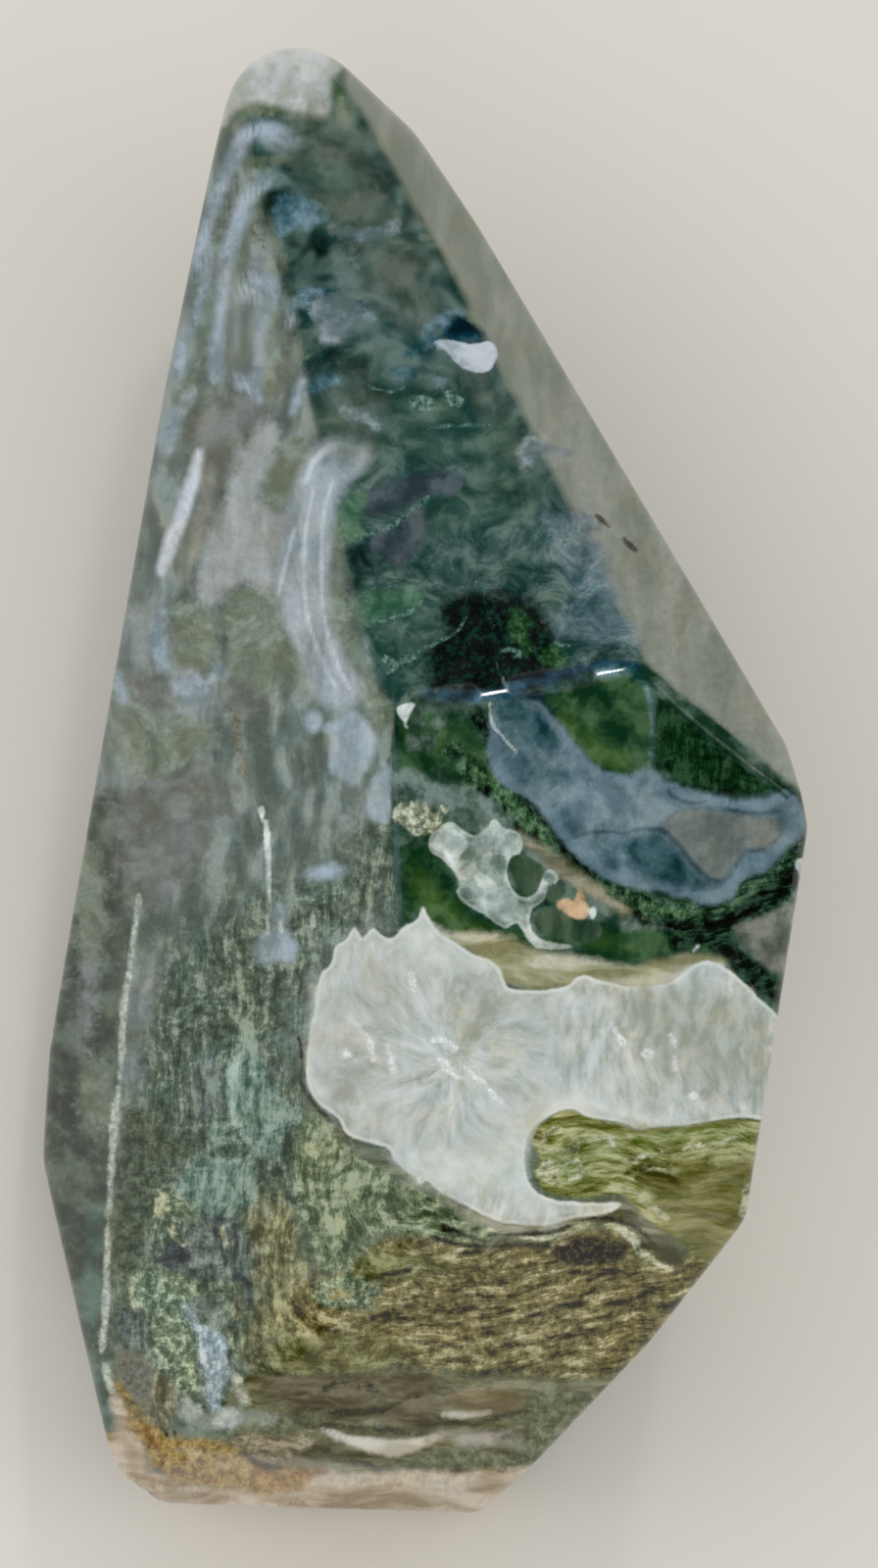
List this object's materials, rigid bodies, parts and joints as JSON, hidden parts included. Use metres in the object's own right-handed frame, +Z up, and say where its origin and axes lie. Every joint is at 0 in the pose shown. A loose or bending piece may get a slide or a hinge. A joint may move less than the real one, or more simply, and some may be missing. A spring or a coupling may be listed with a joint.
{
  "type": "moss agate teardrop",
  "caption": "Polished freeform agate stone shaped as a faceted teardrop, lying on its flat back, with a rounded narrow tip and a broad heel.",
  "frame": {"origin": "middle of the stone's bounding box, at the height of the flat back that it lies on", "axes": "+Z up from the flat back, +Y towards the narrow tip, +X to the right seen from above with the tip away"},
  "size_m": [0.0486, 0.0944, 0.0363],
  "materials": {
    "moss_agate": "high polish over green moss inclusions, lavender chalcedony bands and a white quartz vein"
  },
  "bodies": {
    "root": {"stone": "moss_agate"}
  },
  "joints": []
}
